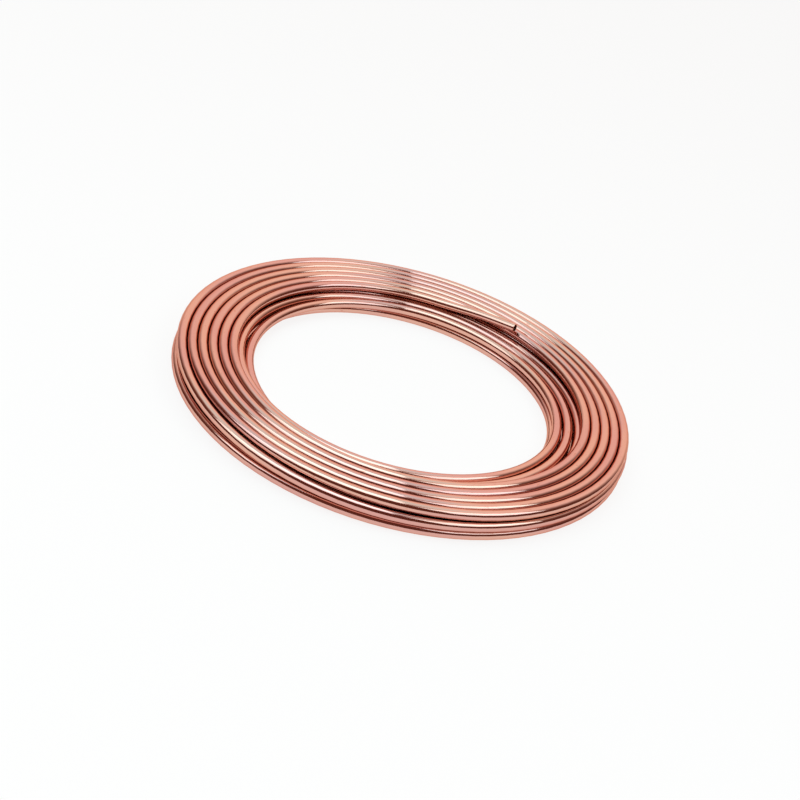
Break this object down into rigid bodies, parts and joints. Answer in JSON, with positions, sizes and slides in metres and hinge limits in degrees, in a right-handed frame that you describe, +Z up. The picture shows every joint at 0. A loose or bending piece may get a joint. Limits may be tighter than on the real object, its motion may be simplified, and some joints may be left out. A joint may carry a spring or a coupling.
{
  "type": "copper tube coil",
  "caption": "Flat round coil of soft copper tube wound in rows about an open centre, lying flat, with one open tube end sprung up above the top turns.",
  "frame": {"origin": "centre of the coil's underside, on the floor it lies on", "axes": "+Z up along the coil's axis; -Y is the near side in the picture; the free end of the tube is at the far right, towards +X and +Y"},
  "size_m": [0.471, 0.471, 0.0412],
  "materials": {
    "copper": "bright drawn copper, soft annealed, lightly handled"
  },
  "bodies": {
    "root": {"copper_tube": "copper"}
  },
  "joints": []
}
